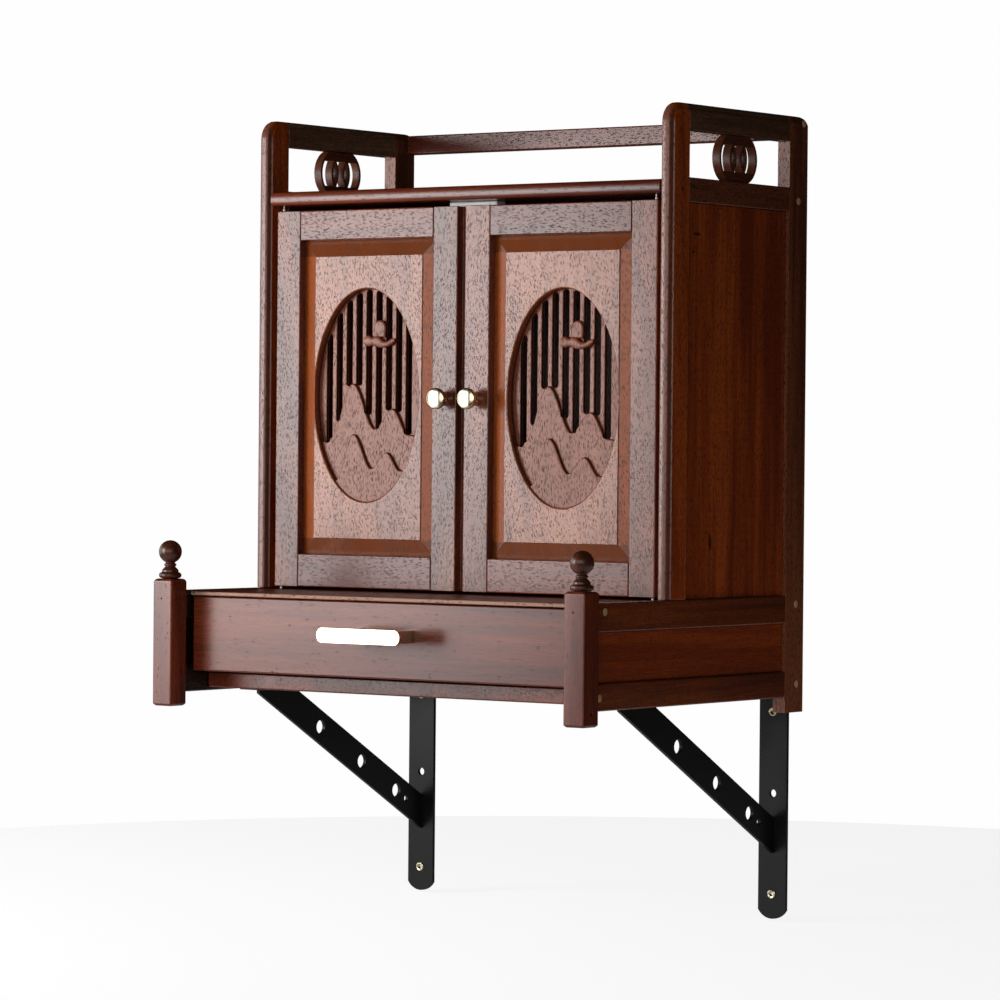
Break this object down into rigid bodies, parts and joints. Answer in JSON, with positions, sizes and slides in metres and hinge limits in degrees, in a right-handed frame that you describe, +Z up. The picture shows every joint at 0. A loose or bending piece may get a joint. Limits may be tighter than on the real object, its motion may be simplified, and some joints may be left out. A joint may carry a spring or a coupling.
{
  "type": "wall_mounted_altar_shelf",
  "caption": "Dark wood wall-hung altar cabinet with carved oval door panels over a drawer box with corner finials, on black steel wall brackets.",
  "frame": {"origin": "on the wall plane at the middle of the back panel's rear face, level with the top of the drawer box's side rails", "axes": "+X to the cabinet's right as seen from the room, +Y into the wall, +Z up; the doors face -Y"},
  "size_m": [0.517, 0.3975, 0.794],
  "materials": {
    "frame_wood": "satin",
    "panel_wood": "satin",
    "side_wood": "satin",
    "inner_wood": "matte",
    "black_steel": "satin",
    "brass": "polished",
    "white_plastic": "satin"
  },
  "bodies": {
    "cabinet": {"front_post_left": "side_wood", "rear_post_left": "side_wood", "gallery_rail_left": "side_wood", "mid_rail_left": "side_wood", "side_panel_left": "side_wood", "ring_ornament_left": "side_wood", "deck_rail_left": "side_wood", "box_side_panel_left": "side_wood", "bottom_rail_left": "side_wood", "corner_post_left": "frame_wood", "finial_left": "frame_wood", "bracket_strap_left": "black_steel", "bracket_strut_left": "black_steel", "eyelet_upper_left": "brass", "eyelet_lower_left": "brass", "pivot_pin_top_left": "white_plastic", "pivot_pin_bottom_left": "white_plastic", "front_post_right": "side_wood", "rear_post_right": "side_wood", "gallery_rail_right": "side_wood", "mid_rail_right": "side_wood", "side_panel_right": "side_wood", "ring_ornament_right": "side_wood", "deck_rail_right": "side_wood", "box_side_panel_right": "side_wood", "bottom_rail_right": "side_wood", "corner_post_right": "frame_wood", "finial_right": "frame_wood", "bracket_strap_right": "black_steel", "bracket_strut_right": "black_steel", "eyelet_upper_right": "brass", "eyelet_lower_right": "brass", "pivot_pin_top_right": "white_plastic", "pivot_pin_bottom_right": "white_plastic", "top_board": "frame_wood", "back_gallery_rail": "frame_wood", "deck": "frame_wood", "bottom_front_rail": "frame_wood", "back_panel": "inner_wood", "bottom_board": "inner_wood", "magnetic_catch": "white_plastic"},
    "door_left": {"hinge_stile_left": "frame_wood", "lock_stile_left": "frame_wood", "door_top_rail_left": "frame_wood", "door_bottom_rail_left": "frame_wood", "door_panel_left": "panel_wood", "knob_left": "brass"},
    "door_right": {"hinge_stile_right": "frame_wood", "lock_stile_right": "frame_wood", "door_top_rail_right": "frame_wood", "door_bottom_rail_right": "frame_wood", "door_panel_right": "panel_wood", "knob_right": "brass"},
    "drawer": {"drawer_front": "frame_wood", "drawer_side_left": "inner_wood", "drawer_side_right": "inner_wood", "drawer_back": "inner_wood", "drawer_bottom": "inner_wood", "drawer_pull": "brass"}
  },
  "joints": [
    {"name": "door_left_hinge", "type": "hinge", "parent": "cabinet", "child": "door_left", "pos_m": [-0.2255, -0.232, 0.1905], "axis": [0, 0, -1], "range_deg": [0, 90]},
    {"name": "door_right_hinge", "type": "hinge", "parent": "cabinet", "child": "door_right", "pos_m": [0.2255, -0.232, 0.1905], "axis": [0, 0, 1], "range_deg": [0, 90]},
    {"name": "drawer_slide", "type": "slide", "parent": "cabinet", "child": "drawer", "axis": [0, -1, 0], "range_m": [0, 0.24]}
  ]
}
